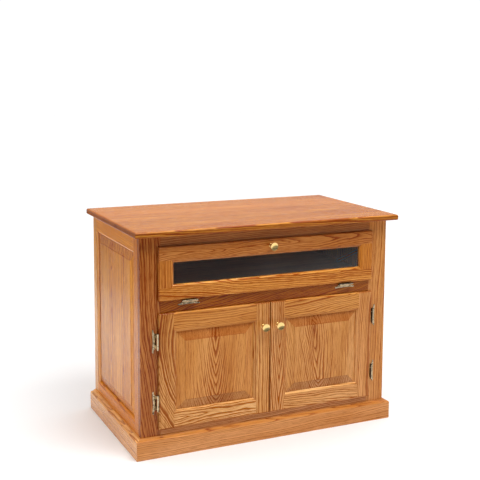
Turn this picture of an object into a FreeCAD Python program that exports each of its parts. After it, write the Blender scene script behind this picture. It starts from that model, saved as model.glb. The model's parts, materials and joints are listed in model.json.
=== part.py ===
"""Oak console cabinet for a television: a drop-front glass door over two raised-panel doors.

Millimetres, +Z up, +X to the right seen from the front, front towards -Y.
The origin is at the middle of the footprint, on the floor.
"""
import FreeCAD
import Part
import math
import os

Vec = FreeCAD.Vector
FORWARD = Vec(0, -1, 0)

# ---------------------------------------------------------------- driving dimensions
BOARD = 19.0                # thickness of frames, shelves and base boards
CARCASS_W = 902.0           # outside of one side frame to outside of the other
CARCASS_D = 506.0           # front of the face frame to the back edge
TOTAL_H = 733.0             # floor to the upper face of the top
TOP_SIDE_OVERHANG = 25.0
TOP_FRONT_OVERHANG = 37.0
TOP_ROUND = 6.0             # upper arris of the top
TOP_UNDER_ROUND = 4.0       # lower arris of the top
CARCASS_H = TOTAL_H - BOARD

HALF_W = CARCASS_W / 2
FACE_Y = -(CARCASS_D - TOP_FRONT_OVERHANG) / 2   # front plane of the face frame
BACK_Y = FACE_Y + CARCASS_D
INNER_X = HALF_W - BOARD    # inner face of a side frame

# base moulding, mitred round the front and both sides
BASE_H = 66.5
BASE_FACE_H = 55.5          # height of its upright face, below the moulded edge
BASE_TOP_FLAT = 5.0         # flat left on its upper edge

# doors: each has a lip that overlaps the face frame all round
LIP = 9.5                   # overlap on the face frame
DOOR_GAP = 2.0              # between a door's inner step and its opening
LIP_CLEARANCE = 1.8         # between a lip and the face frame
LIP_T = 9.2                 # thickness of the lip
DOOR_ROUND = 4.5            # rounded front edge of a lip
DOOR_X = 392.0              # outer edge of the doors, from the middle
MEETING_GAP = 3.0           # between the two lower doors
LOWER_Z = (88.5, 465.0)     # bottom and top edge of the lower doors
DROP_Z = (505.0, 677.0)     # bottom and top edge of the drop-front door
DOOR_FRONT = LIP_CLEARANCE + LIP_T               # door's front, ahead of the face frame

# face frame openings follow from the doors
OPEN_X = DOOR_X - LIP
LOWER_OPEN = (LOWER_Z[0] + LIP, LOWER_Z[1] - LIP)
DROP_OPEN = (DROP_Z[0] + LIP, DROP_Z[1] - LIP)

# frame-and-panel work
BEAD_W = 9.0                # moulded inner edge of a frame member
BEAD_D = 8.0                # depth of that moulding
BEAD_STEP = 1.2             # small step at its front
GROOVE_W = 6.2              # groove that holds a panel
GROOVE_DEPTH = 8.0
TONGUE_T = 6.0              # edge of a raised panel
PANEL_BEVEL = 30.0          # width of its bevel
PANEL_STEP = 1.4            # step up to the raised field
FIELD_DEPTH = 1.2           # field behind the frame's front
DOOR_STILE = 50.5
DOOR_TOP_RAIL = 55.0
DOOR_BOTTOM_RAIL = 48.0
GLASS_FRAME = 43.0
SIDE_STILE = 38.0
SIDE_TOP_RAIL = 54.0
SIDE_BOTTOM_RAIL = 102.0
GLASS_T = 3.0
GLASS_EDGE_GAP = 1.0

# hinges
BARREL_R = 3.5
BARREL_L = 50.0
BARREL_SIDE = 4.5           # barrel's axis beyond the door's edge
BARREL_FRONT = 13.0         # barrel's axis ahead of the face frame
KNUCKLE_GAP = 0.4
PIN_R = 1.55
PIN_BORE_R = 1.6
PLATE_T = 1.5               # leaf on the face frame
PLATE_REACH = 15.0          # from the axis to that leaf's outer edge
PLATE_HALF = 38.0           # half its length at the outer edge
LEAF_T = 1.2                # leaf bent round the door's edge
LOWER_HINGE_INSET = 88.0    # hinge centre from a lower door's top or bottom edge
DROP_HINGE_X = 287.0        # hinge centre on the drop-front door, from the middle

# stay of the drop-front door, on the right
DROP_DOOR_ANGLE = 90.0      # the door's travel
STAY_STUD = (29.0, 115.0)   # stud behind and above the door's hinge axis, door shut
STAY_PIN_ANGLE = 56.0       # cabinet's pin, measured round the hinge axis from level
STAY_X = 373.0              # inner face of the arm
STAY_T = 1.5
STAY_GAP = 0.3
STAY_HALF_WIDTH = 6.0
STAY_PIN_R = 2.5
STAY_STUD_R = 2.0

# inside
BACK_PANEL_T = 6.0
BACK_RABBET_D = 8.0
BACK_RABBET_W = 9.0
BACK_SCREW_HEAD_R = 3.0
SHELF_Z = 290.0             # underside of the adjustable shelf
SHELF_PIN_R = 2.5
PIN_HOLE_DEPTH = 10.0
PIN_PITCH = 32.0
CABLE_HOLE_R = 30.0
CLEAT = 19.0

# magnetic catches, one for the drop-front door and a double one for the lower doors
CATCH_X = 27.0              # magnet and strike, from the middle
CATCH_DROP = 11.0           # below the upper edge of the opening
CATCH_HALF_H = 6.0
DROP_CATCH_HALF_W = 20.0
LOWER_CATCH_HALF_W = 47.0
STRIKE_HALF_W = 18.0
STRIKE_T = 1.5
POLE_HALF_W = 9.0
POLE_GAP = 0.4              # between a pole and its strike
CATCH_BLOCK_D = 36.0        # front to back of the block that it hangs under

# knobs
KNOB_R = 13.5
KNOB_L = 25.0
KNOB_SCREW_R = 2.0
KNOB_SCREW_DEPTH = 12.0     # blind hole in its back
KNOB_DISH_R = 9.2
KNOB_DISH_DEPTH = 1.6
LOWER_KNOB_DROP = 78.5      # below a lower door's top edge

NODES = {}


# ---------------------------------------------------------------- helpers
def box(x, y, z):
    """A block between the two values given on each axis."""
    (x0, x1), (y0, y1), (z0, z1) = sorted(x), sorted(y), sorted(z)
    return Part.makeBox(x1 - x0, y1 - y0, z1 - z0, Vec(x0, y0, z0))


def from_face(depth):
    """Y of a plane that far behind the front of the face frame."""
    return FACE_Y + depth


def both(x):
    """The two values at the same distance either side of the middle."""
    return (-x, x)


def rod(radius, length, base, direction):
    return Part.makeCylinder(radius, length, base, direction)


def outline(steps, place):
    """A closed face. steps are ("line", p) or ("arc", via, p) after a first ("start", p)."""
    edges = []
    here = first = steps[0][1]
    for step in steps[1:]:
        if step[0] == "line":
            edges.append(Part.LineSegment(place(here), place(step[1])).toShape())
        else:
            edges.append(Part.Arc(place(here), place(step[1]), place(step[2])).toShape())
        here = step[-1]
    if (place(here) - place(first)).Length > 1e-6:
        edges.append(Part.LineSegment(place(here), place(first)).toShape())
    return Part.Face(Part.Wire(edges))


def arc_point(centre, radius, degrees):
    angle = math.radians(degrees)
    return (centre[0] + radius * math.cos(angle), centre[1] + radius * math.sin(angle))


def revolve_y(steps, centre):
    """Turns an outline of (radius, distance forward) about a line along Y through centre."""
    face = outline(steps, lambda p: Vec(p[0], -p[1], 0))
    solid = face.revolve(Vec(0, 0, 0), Vec(0, 1, 0), 360)
    solid.translate(centre)
    return solid


def edges_where(shape, test):
    return [e for e in shape.Edges if test(e.BoundBox)]


def largest_solid(shape):
    return max(shape.Solids, key=lambda solid: solid.Volume)


def turned(shape, axis, degrees, to):
    """A copy turned about the origin, then moved."""
    copy = shape.copy()
    copy.Placement = FreeCAD.Placement(to, FreeCAD.Rotation(axis, degrees))
    return copy


# ---------------------------------------------------------------- frame-and-panel work
def member_steps(width, glazed):
    """Section of a frame member. First number: in from its outer edge. Second: behind its front."""
    inner = width + BEAD_W
    groove = BEAD_D + 0.5
    curve = arc_point((width, BEAD_D), BEAD_W, -45)
    via = (curve[0], BEAD_D - (BEAD_D - BEAD_STEP) * math.sin(math.radians(45)))
    front = [
        ("start", (0, 0)),
        ("line", (width, 0)),
        ("line", (width, BEAD_STEP)),
        ("arc", via, (inner, BEAD_D)),
        ("line", (inner, groove)),
    ]
    if glazed:
        back = [("line", (inner - GROOVE_DEPTH, groove)), ("line", (inner - GROOVE_DEPTH, BOARD))]
    else:
        back = [
            ("line", (inner - GROOVE_DEPTH, groove)),
            ("line", (inner - GROOVE_DEPTH, groove + GROOVE_W)),
            ("line", (inner, groove + GROOVE_W)),
            ("line", (inner, BOARD)),
        ]
    return front + back + [("line", (0, BOARD))]


def frame_members(width, height, left, right, top, bottom, glazed=False, rails_through=False):
    """Two stiles and two rails of a frame that fills width by height, front at Y 0.

    One pair runs through to the corners. The ends of the other pair are coped over its
    moulded edges, with a stub in its grooves.
    """
    stiles = {
        "left_stile": (left, lambda p, z: Vec(p[0], p[1], z)),
        "right_stile": (right, lambda p, z: Vec(width - p[0], p[1], z)),
    }
    rails = {
        "top_rail": (top, lambda p, x: Vec(x, p[1], height - p[0])),
        "bottom_rail": (bottom, lambda p, x: Vec(x, p[1], p[0])),
    }
    pairs = [(stiles, Vec(0, 0, height)), (rails, Vec(width, 0, 0))]
    if rails_through:
        pairs.reverse()
    (through, full), (between, across) = pairs
    members = {}
    for name, (size, place) in through.items():
        members[name] = outline(member_steps(size, glazed), lambda p: place(p, 0)).extrude(full)
    first, last = [size for size, _ in through.values()]
    if rails_through:
        first, last = last, first
    length = across.Length - first - last
    along = across * (length / across.Length)
    coped_by = Part.makeCompound(list(members.values()))
    for name, (size, place) in between.items():
        board = outline(member_steps(size, glazed), lambda p: place(p, first)).extrude(along)
        members[name] = largest_solid(board.cut(coped_by))
    return members


def raised_panel(width, height, left, right, top, bottom):
    """The panel held in the grooves of that frame, bevelled up to a raised field."""
    reach = BEAD_W - GROOVE_DEPTH + 1.0
    x = (left + reach, width - right - reach)
    z = (bottom + reach, height - top - reach)
    groove = BEAD_D + 0.6
    panel = box(x, (FIELD_DEPTH, groove + TONGUE_T), z)
    tongue = BEAD_W - reach
    bevel_top = FIELD_DEPTH + PANEL_STEP
    section = [
        ("start", (-1, -1)),
        ("line", (-1, groove)),
        ("line", (tongue, groove)),
        ("line", (tongue + PANEL_BEVEL, bevel_top)),
        ("line", (tongue + PANEL_BEVEL, -1)),
    ]
    long_x = Vec(x[1] - x[0], 0, 0)
    long_z = Vec(0, 0, z[1] - z[0])
    for place, along in (
        (lambda p: Vec(x[0] + p[0], p[1], z[0]), long_z),
        (lambda p: Vec(x[1] - p[0], p[1], z[0]), long_z),
        (lambda p: Vec(x[0], p[1], z[0] + p[0]), long_x),
        (lambda p: Vec(x[0], p[1], z[1] - p[0]), long_x),
    ):
        panel = panel.cut(outline(section, place).extrude(along))
    return panel


def lipped_envelope(width, height):
    """Everything a lipped door may fill: a rounded front slab and a smaller step behind it."""
    slab = box((0, width), (0, LIP_T), (0, height))
    front = edges_where(slab, lambda b: b.YMax < 1e-6)
    slab = slab.makeFillet(DOOR_ROUND, front)
    step = LIP + DOOR_GAP
    back = box((step, width - step), (0, BOARD), (step, height - step))
    back_only = box((0, width), (LIP_T - 1, BOARD), (0, height))
    return slab.fuse(back.common(back_only)).removeSplitter()


# ---------------------------------------------------------------- carcass
def make_top():
    x = HALF_W + TOP_SIDE_OVERHANG
    top = box(both(x), (FACE_Y - TOP_FRONT_OVERHANG, BACK_Y), (CARCASS_H, TOTAL_H))

    def moulded(b, z):
        on_back = b.YMin > BACK_Y - 1e-6
        return abs(b.ZMin - z) < 1e-6 and abs(b.ZMax - z) < 1e-6 and not on_back

    top = top.makeFillet(TOP_ROUND, edges_where(top, lambda b: moulded(b, TOTAL_H)))
    under = edges_where(top, lambda b: moulded(b, CARCASS_H))
    NODES["top_panel"] = top.makeFillet(TOP_UNDER_ROUND, under)


def shelf_pin_places(z_values):
    """Positions on the inner face of the left side frame."""
    inset = SIDE_STILE / 2
    return [
        (y, z)
        for y in (from_face(BOARD + inset), BACK_Y - inset - 2)
        for z in z_values
    ]


def make_side_frames():
    width = CARCASS_D - BOARD
    sizes = (width, CARCASS_H, SIDE_STILE, SIDE_STILE, SIDE_TOP_RAIL, SIDE_BOTTOM_RAIL)
    local = frame_members(*sizes)
    local["panel"] = raised_panel(*sizes)
    holes = [
        rod(SHELF_PIN_R, PIN_HOLE_DEPTH, Vec(-INNER_X, y, z), Vec(-1, 0, 0))
        for y, z in shelf_pin_places([SHELF_Z - SHELF_PIN_R + PIN_PITCH * k for k in range(-2, 3)])
    ]
    rabbet = box(
        (-INNER_X - BACK_RABBET_W, -INNER_X), (BACK_Y - BACK_RABBET_D, BACK_Y), (0, CARCASS_H)
    )
    for side, turn, to in (
        ("left", -90, Vec(-HALF_W, BACK_Y, 0)),
        ("right", 90, Vec(HALF_W, from_face(BOARD), 0)),
    ):
        names = {
            "left_stile": "back_stile" if side == "left" else "front_stile",
            "right_stile": "front_stile" if side == "left" else "back_stile",
        }
        tools = Part.makeCompound(holes + [rabbet])
        if side == "right":
            tools = tools.mirror(Vec(0, 0, 0), Vec(1, 0, 0))
        for name, shape in local.items():
            placed = turned(shape, Vec(0, 0, 1), turn, to)
            if "stile" in name:
                placed = placed.cut(tools)
            NODES[f"{side}_side_{names.get(name, name)}"] = placed


def make_face_frame():
    depth = (FACE_Y, from_face(BOARD))
    for side, x in (("left", (-HALF_W, -OPEN_X)), ("right", (OPEN_X, HALF_W))):
        NODES[f"face_frame_{side}_stile"] = box(x, depth, (0, CARCASS_H))
    for name, z in (
        ("top", (DROP_OPEN[1], CARCASS_H)),
        ("mid", (LOWER_OPEN[1], DROP_OPEN[0])),
        ("bottom", (0, LOWER_OPEN[0])),
    ):
        NODES[f"face_frame_{name}_rail"] = box(both(OPEN_X), depth, z)


def base_steps():
    """Section of the base moulding. First number: out from the carcass. Second: height."""
    shoulder = (13.0, BASE_FACE_H + 6.0)
    crown = (BASE_TOP_FLAT + 0.8, BASE_H - 1.6)
    return [
        ("start", (0, 0)),
        ("line", (BOARD, 0)),
        ("line", (BOARD, BASE_FACE_H)),
        ("arc", (17.4, BASE_FACE_H + 3.9), shoulder),
        ("arc", (8.8, BASE_FACE_H + 7.4), crown),
        ("line", (BASE_TOP_FLAT, BASE_H - 1.6)),
        ("line", (BASE_TOP_FLAT, BASE_H)),
        ("line", (0, BASE_H)),
    ]


def make_base():
    """Front board and two side boards, mitred at the front corners."""
    far = BOARD * 2
    steps = base_steps()
    front = outline(steps, lambda p: Vec(-HALF_W - far, FACE_Y - p[0], p[1]))
    front = front.extrude(Vec(CARCASS_W + 2 * far, 0, 0))
    left = outline(steps, lambda p: Vec(-HALF_W - p[0], FACE_Y - far, p[1]))
    left = left.extrude(Vec(0, CARCASS_D + far, 0))
    mitre = Part.makePolygon([
        Vec(-HALF_W, FACE_Y, -1),
        Vec(-HALF_W - far, FACE_Y - far, -1),
        Vec(-HALF_W - far, BACK_Y + far, -1),
        Vec(-HALF_W, BACK_Y + far, -1),
        Vec(-HALF_W, FACE_Y, -1),
    ])
    side_room = Part.Face(mitre).extrude(Vec(0, 0, BASE_H + 2))
    across = Vec(1, 0, 0)
    right_room = side_room.mirror(Vec(0, 0, 0), across)
    left = left.common(side_room)
    NODES["base_front_board"] = front.cut(side_room).cut(right_room)
    NODES["base_left_board"] = left
    NODES["base_right_board"] = left.mirror(Vec(0, 0, 0), across)


def make_inside():
    """Cupboard floor, fixed shelf, adjustable shelf on its pins, cleats and catch blocks."""
    depth = (from_face(BOARD), BACK_Y - BACK_RABBET_D)
    floor = (LOWER_OPEN[0] - BOARD, LOWER_OPEN[0])
    fixed = (DROP_OPEN[0] - BOARD, DROP_OPEN[0])
    NODES["cupboard_floor"] = box(both(INNER_X), depth, floor)
    NODES["fixed_shelf"] = box(both(INNER_X), depth, fixed)
    clear = 2.0
    NODES["adjustable_shelf"] = box(
        both(INNER_X - clear), (from_face(BOARD + 8), depth[1] - clear), (SHELF_Z, SHELF_Z + BOARD)
    )
    pins = []
    for y, z in shelf_pin_places([SHELF_Z - SHELF_PIN_R]):
        for side in (-1, 1):
            start = Vec(side * (INNER_X + PIN_HOLE_DEPTH - 1), y, z)
            pin = rod(SHELF_PIN_R, PIN_HOLE_DEPTH + 8, start, Vec(-side, 0, 0))
            collar = rod(SHELF_PIN_R + 1.5, 1.0, Vec(side * INNER_X, y, z), Vec(-side, 0, 0))
            half = box((-500, 500), (y - 9, y + 9), (z - 9, SHELF_Z))
            pins.append(pin.fuse(collar.common(half)))
    NODES["shelf_pins"] = Part.makeCompound(pins)
    NODES["cleats_and_blocks"] = Part.makeCompound(cleats(floor, fixed, depth) + blocks(fixed))


def cleats(floor, fixed, depth):
    """Strips on the side frames that carry the floor and the fixed shelf and hold the top."""
    strips = []
    for side in (-1, 1):
        x = (side * INNER_X, side * (INNER_X - CLEAT))
        strips += [box(x, depth, (top - CLEAT, top)) for top in (floor[0], fixed[0], CARCASS_H)]
    return strips


def blocks(fixed):
    """Blocks behind the face frame that hold the two catches and the stay's pivot."""
    front = from_face(BOARD)
    depth = (front, front + CATCH_BLOCK_D)
    drop_x = (CATCH_X - DROP_CATCH_HALF_W, CATCH_X + DROP_CATCH_HALF_W)
    pivot = stay_points()["pin"]
    room = 20.0
    return [
        box(drop_x, depth, (DROP_OPEN[1], CARCASS_H)),
        box(both(LOWER_CATCH_HALF_W), depth, (LOWER_OPEN[1], fixed[0])),
        box((OPEN_X, INNER_X), (front, pivot.y + room), (pivot.z - room, pivot.z + room)),
    ]


def make_back():
    x = INNER_X + BACK_RABBET_W - 0.5
    y = (BACK_Y - BACK_RABBET_D, BACK_Y - BACK_RABBET_D + BACK_PANEL_T)
    panel = box(both(x), y, (0, CARCASS_H))
    for hole_x, hole_z in cable_holes():
        panel = panel.cut(rod(CABLE_HOLE_R, 20, Vec(hole_x, y[0] - 5, hole_z), Vec(0, 1, 0)))
    heads = []
    floor_mid = LOWER_OPEN[0] - BOARD / 2
    fixed_mid = DROP_OPEN[0] - BOARD / 2
    across = [x * k for k in (-0.66, -0.22, 0.22, 0.66)]
    up = [30.0, 200.0, 400.0, 600.0, CARCASS_H - 12]
    places = [(px, pz) for px in across for pz in (floor_mid, fixed_mid)]
    places += [(side * (INNER_X + 3.5), pz) for side in (-1, 1) for pz in up]
    for px, pz in places:
        heads.append(screw(Vec(px, y[1], pz), Vec(0, 1, 0), BACK_SCREW_HEAD_R, 11.0))
    holes = Part.makeCompound([h.copy() for h in heads])
    for name in ("cupboard_floor", "fixed_shelf", "left_side_back_stile", "right_side_back_stile"):
        NODES[name] = NODES[name].cut(holes)
    NODES["back_panel"] = panel.cut(holes)
    NODES["back_panel_screws"] = Part.makeCompound(heads)


def cable_holes():
    """Centres of the cable openings in the back panel."""
    bay_mid = (DROP_OPEN[0] + CARCASS_H) / 2
    return [(-250.0, bay_mid), (250.0, bay_mid), (0.0, 400.0)]


def screw(at, out, head_r, length):
    """A domed screw along Y whose head, with a cross recess, stands on the surface there."""
    shank = rod(head_r * 0.45, length, at, out.negative())
    ball_r = head_r * 1.3
    sunk = math.sqrt(ball_r ** 2 - head_r ** 2)
    ball = Part.makeSphere(ball_r, at - out * sunk)
    head = ball.common(rod(head_r + 1, ball_r, at, out))
    return head.fuse(shank).cut(cross_recess(at + out * (ball_r - sunk), head_r * 0.6))


def cross_recess(tip, half):
    """Two crossed slots, to cut into a screw head whose highest point is tip."""
    narrow = 0.4
    depth = (tip.y - 0.8, tip.y + 0.8)
    level = box((tip.x - half, tip.x + half), depth, (tip.z - narrow, tip.z + narrow))
    upright = box((tip.x - narrow, tip.x + narrow), depth, (tip.z - half, tip.z + half))
    return level.fuse(upright)


# ---------------------------------------------------------------- hinges
def hinge_place(kind):
    """(turn about Y, positions of the barrel's middle) for the hinges of one door."""
    y = FACE_Y - BARREL_FRONT
    side = DOOR_X + BARREL_SIDE
    lower_z = (LOWER_Z[0] + LOWER_HINGE_INSET, LOWER_Z[1] - LOWER_HINGE_INSET)
    if kind == "left":
        return 0, [Vec(-side, y, z) for z in lower_z]
    if kind == "right":
        return 180, [Vec(side, y, z) for z in lower_z]
    return -90, [Vec(x, y, DROP_Z[0] - BARREL_SIDE) for x in both(DROP_HINGE_X)]


def knuckle(z0, z1):
    outer = rod(BARREL_R, z1 - z0, Vec(0, 0, z0), Vec(0, 0, 1))
    return outer.cut(rod(PIN_BORE_R, z1 - z0, Vec(0, 0, z0), Vec(0, 0, 1)))


def hinge_frame_leaf():
    """Leaf screwed to the face frame. Barrel on the Z axis, the face frame at Y BARREL_FRONT."""
    face = BARREL_FRONT
    half = BARREL_L / 2
    mid = half / 2 + KNUCKLE_GAP / 2
    waist = half - 2
    reach = PLATE_REACH
    near = BARREL_R
    steps = [
        ("start", (-near + PLATE_T, -waist)),
        ("line", (-near + PLATE_T, waist)),
        ("line", (-near - 1, waist)),
        ("arc", (-near - 5.2, waist + 4.6), (-reach + 4.5, PLATE_HALF)),
        ("arc", (-reach + 0.8, PLATE_HALF - 2.2), (-reach, PLATE_HALF - 7)),
        ("arc", (-reach + 1.6, 0), (-reach, -PLATE_HALF + 7)),
        ("arc", (-reach + 0.8, -PLATE_HALF + 2.2), (-reach + 4.5, -PLATE_HALF)),
        ("arc", (-near - 5.2, -waist - 4.6), (-near - 1, -waist)),
    ]
    plate = outline(steps, lambda p: Vec(p[0], face - PLATE_T, p[1])).extrude(Vec(0, PLATE_T, 0))
    for sign in (-1, 1):
        z = sorted((sign * mid, sign * half))
        web = box((-near, -near + PLATE_T), (0, face), z)
        web = web.cut(rod(PIN_BORE_R + 0.3, z[1] - z[0], Vec(0, 0, z[0]), Vec(0, 0, 1)))
        plate = plate.fuse(web).fuse(knuckle(*z))
    return plate.removeSplitter()


def hinge_door_leaf():
    """Leaf that passes round the lip and is screwed to the back of the door."""
    face = BARREL_FRONT
    mid = BARREL_L / 4 - KNUCKLE_GAP / 2
    wide = BARREL_L / 2
    edge = BARREL_SIDE + LIP + DOOR_GAP          # door's inner step
    back = face - DOOR_FRONT + BOARD             # door's back
    first = (BARREL_R - LEAF_T, BARREL_R)
    under = (face - LIP_CLEARANCE + 0.2, face - LIP_CLEARANCE + 0.2 + LEAF_T)
    wall = (edge - 0.4 - LEAF_T, edge - 0.4)
    leaf = box(first, (0, under[1]), (-mid, mid)).fuse(knuckle(-mid, mid))
    leaf = leaf.cut(rod(PIN_BORE_R, 2 * mid, Vec(0, 0, -mid), Vec(0, 0, 1)))
    leaf = leaf.fuse(box((first[0], wall[1]), under, (-mid, mid)))
    leaf = leaf.fuse(box(wall, (under[0], back + LEAF_T), (-wide, wide)))
    leaf = leaf.fuse(box((wall[0], edge + 26), (back, back + LEAF_T), (-wide, wide)))
    return leaf.removeSplitter()


def hinge_pin():
    pin = rod(PIN_R, BARREL_L, Vec(0, 0, -BARREL_L / 2), Vec(0, 0, 1))
    for sign in (-1, 1):
        at = Vec(0, 0, sign * BARREL_L / 2)
        cap = Part.makeSphere(BARREL_R - 0.3, at)
        keep = rod(BARREL_R, BARREL_R, at, Vec(0, 0, sign))
        pin = pin.fuse(cap.common(keep))
    return pin


def make_hinges():
    plate = hinge_frame_leaf()
    leaf = hinge_door_leaf()
    pin = hinge_pin()
    face = BARREL_FRONT
    plate_screws = [
        screw(Vec(-PLATE_REACH + 5.2, face - PLATE_T, z), Vec(0, -1, 0), 3.1, 12.0)
        for z in both(BARREL_L / 2 - 4)
    ]
    back = face - DOOR_FRONT + BOARD + LEAF_T
    door_screw_x = BARREL_SIDE + LIP + DOOR_GAP + 16
    leaf_screws = [
        screw(Vec(door_screw_x, back, z), Vec(0, 1, 0), 3.1, 9.0) for z in both(BARREL_L / 2 - 8)
    ]
    plate = plate.cut(Part.makeCompound([s.copy() for s in plate_screws]))
    leaf = leaf.cut(Part.makeCompound([s.copy() for s in leaf_screws]))
    plates, pins, frame_screws = [], [], []
    axis = Vec(0, 1, 0)
    for kind in ("left", "right", "drop"):
        turn, places = hinge_place(kind)
        plates += [turned(plate, axis, turn, p) for p in places]
        pins += [turned(pin, axis, turn, p) for p in places]
        frame_screws += [turned(s, axis, turn, p) for p in places for s in plate_screws]
        door_screws = [turned(s, axis, turn, p) for p in places for s in leaf_screws]
        leaves = [turned(leaf, axis, turn, p) for p in places]
        NODES[f"{kind}_door_hinge_leaves"] = Part.makeCompound(leaves)
        NODES[f"{kind}_door_hinge_screws"] = Part.makeCompound(door_screws)
        boards = [n for n in NODES if n.startswith(f"{kind}_door") and n.endswith(("stile", "rail"))]
        drill(boards, door_screws)
    stiles = ["face_frame_left_stile", "face_frame_right_stile"]
    drill(stiles + ["face_frame_mid_rail"], frame_screws)
    frame_screws.append(stay_screw(stay_points()["pin"]))
    NODES["frame_hinge_leaves"] = Part.makeCompound(plates)
    NODES["frame_hinge_and_stay_screws"] = Part.makeCompound(frame_screws)
    NODES["hinge_pins"] = Part.makeCompound(pins)


def drill(names, tools):
    """Cuts the holes that these fasteners fill out of the boards they enter."""
    for name in names:
        for tool in tools:
            if NODES[name].BoundBox.intersect(tool.BoundBox):
                NODES[name] = NODES[name].cut(tool)


# ---------------------------------------------------------------- doors
def knob(at):
    """A turned brass knob with a dished face, and the machine screw that holds it."""
    rim = KNOB_L - 2.6
    hole = KNOB_SCREW_R + 0.1
    steps = [
        ("start", (hole, 0)),
        ("line", (8.0, 0)),
        ("arc", (7.7, 1.6), (6.4, 2.4)),
        ("arc", (4.9, 8.0), (6.2, 13.5)),
        ("arc", (9.6, 16.8), (12.9, 18.6)),
        ("arc", (KNOB_R, 20.3), (12.9, rim)),
        ("arc", (11.4, KNOB_L), (9.9, rim)),
        ("line", (KNOB_DISH_R, rim - 1.0)),
        ("line", (0, rim - 1.0)),
        ("line", (0, KNOB_SCREW_DEPTH)),
        ("line", (hole, KNOB_SCREW_DEPTH)),
    ]
    ball_r = (KNOB_DISH_R ** 2 + KNOB_DISH_DEPTH ** 2) / (2 * KNOB_DISH_DEPTH)
    ball_at = at - Vec(0, rim - 1.0 - KNOB_DISH_DEPTH + ball_r, 0)
    body = revolve_y(steps, at).cut(Part.makeSphere(ball_r, ball_at))
    shank_start = at + Vec(0, BOARD, 0)
    shank = rod(KNOB_SCREW_R, BOARD + KNOB_SCREW_DEPTH - 2, shank_start, FORWARD)
    head = rod(4.6, 2.4, shank_start, Vec(0, 1, 0))
    return Part.makeCompound([body, shank.fuse(head)])


def bored(shape, at):
    return shape.cut(rod(KNOB_SCREW_R + 0.1, 60, at - Vec(0, 20, 0), Vec(0, 1, 0)))


def place_door(prefix, parts, x0, z0, width, height):
    envelope = lipped_envelope(width, height)
    to = Vec(x0, FACE_Y - DOOR_FRONT, z0)
    for name, shape in parts.items():
        inside = shape if name == "panel" else shape.common(envelope)
        inside = inside.copy()
        inside.translate(to)
        NODES[f"{prefix}_{name}"] = inside


def make_lower_doors():
    width = DOOR_X - MEETING_GAP / 2
    height = LOWER_Z[1] - LOWER_Z[0]
    sizes = (width, height, DOOR_STILE, DOOR_STILE, DOOR_TOP_RAIL, DOOR_BOTTOM_RAIL)
    front = FACE_Y - DOOR_FRONT
    for side, x0, sign in (("left", -DOOR_X, -1), ("right", MEETING_GAP / 2, 1)):
        parts = frame_members(*sizes)
        parts["panel"] = raised_panel(*sizes)
        prefix = f"{side}_door"
        place_door(prefix, parts, x0, LOWER_Z[0], width, height)
        hinge, meeting = ("left", "right") if side == "left" else ("right", "left")
        NODES[f"{prefix}_hinge_stile"] = NODES.pop(f"{prefix}_{hinge}_stile")
        NODES[f"{prefix}_meeting_stile"] = NODES.pop(f"{prefix}_{meeting}_stile")
        at = Vec(sign * (MEETING_GAP / 2 + DOOR_STILE / 2), front, LOWER_Z[1] - LOWER_KNOB_DROP)
        NODES[f"{prefix}_meeting_stile"] = bored(NODES[f"{prefix}_meeting_stile"], at)
        NODES[f"{prefix}_knob"] = knob(at)
        NODES[f"{prefix}_catch_strike"] = strike(sign * CATCH_X, LOWER_OPEN[1])


def make_drop_door():
    width = 2 * DOOR_X
    height = DROP_Z[1] - DROP_Z[0]
    edge = GLASS_FRAME
    parts = frame_members(width, height, edge, edge, edge, edge - 2, True, rails_through=True)
    place_door("drop_door", parts, -DOOR_X, DROP_Z[0], width, height)
    at = Vec(0, FACE_Y - DOOR_FRONT, DROP_Z[1] - edge / 2)
    NODES["drop_door_top_rail"] = bored(NODES["drop_door_top_rail"], at)
    NODES["drop_door_knob"] = knob(at)
    rabbet = edge + BEAD_W - GROOVE_DEPTH
    x = DOOR_X - rabbet
    z = (DROP_Z[0] + rabbet - 2, DROP_Z[1] - rabbet)
    front = FACE_Y - DOOR_FRONT + BEAD_D + 0.5
    gap = GLASS_EDGE_GAP
    glass = (front + 0.3, front + 0.3 + GLASS_T)
    NODES["drop_door_glass"] = box(both(x - gap), glass, (z[0] + gap, z[1] - gap))
    stop = (glass[1], FACE_Y - DOOR_FRONT + BOARD)
    wide = GROOVE_DEPTH
    NODES["drop_door_glass_stops"] = Part.makeCompound([
        box(both(x), stop, (z[0], z[0] + wide)),
        box(both(x), stop, (z[1] - wide, z[1])),
        box((-x, -x + wide), stop, (z[0] + wide, z[1] - wide)),
        box((x - wide, x), stop, (z[0] + wide, z[1] - wide)),
    ])
    NODES["drop_door_catch_strike"] = strike(CATCH_X, DROP_OPEN[1])


def strike(x, opening_top):
    """Steel plate on the back of a door, for a magnetic catch."""
    y = FACE_Y - DOOR_FRONT + BOARD
    z = opening_top - CATCH_DROP
    across = (x - STRIKE_HALF_W, x + STRIKE_HALF_W)
    return box(across, (y, y + STRIKE_T), (z - CATCH_HALF_H, z + CATCH_HALF_H))


def catch(across, magnets_x, opening_top):
    """A magnetic catch: a moulded housing under a block, with its poles facing the door."""
    front = FACE_Y - DOOR_FRONT + BOARD + STRIKE_T + POLE_GAP
    z = opening_top - CATCH_DROP
    housing = box(across, (front + 1.5, front + 26), (z - CATCH_HALF_H, opening_top))
    for x in magnets_x:
        for middle in (z - 2.5, z + 2.5):
            wide = (x - POLE_HALF_W, x + POLE_HALF_W)
            housing = housing.fuse(box(wide, (front, front + 10), (middle - 1, middle + 1)))
    return housing.removeSplitter()


def make_catches():
    drop_x = (CATCH_X - DROP_CATCH_HALF_W, CATCH_X + DROP_CATCH_HALF_W)
    NODES["magnetic_catches"] = Part.makeCompound([
        catch(drop_x, (CATCH_X,), DROP_OPEN[1]),
        catch(both(LOWER_CATCH_HALF_W), both(CATCH_X), LOWER_OPEN[1]),
    ])


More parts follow.
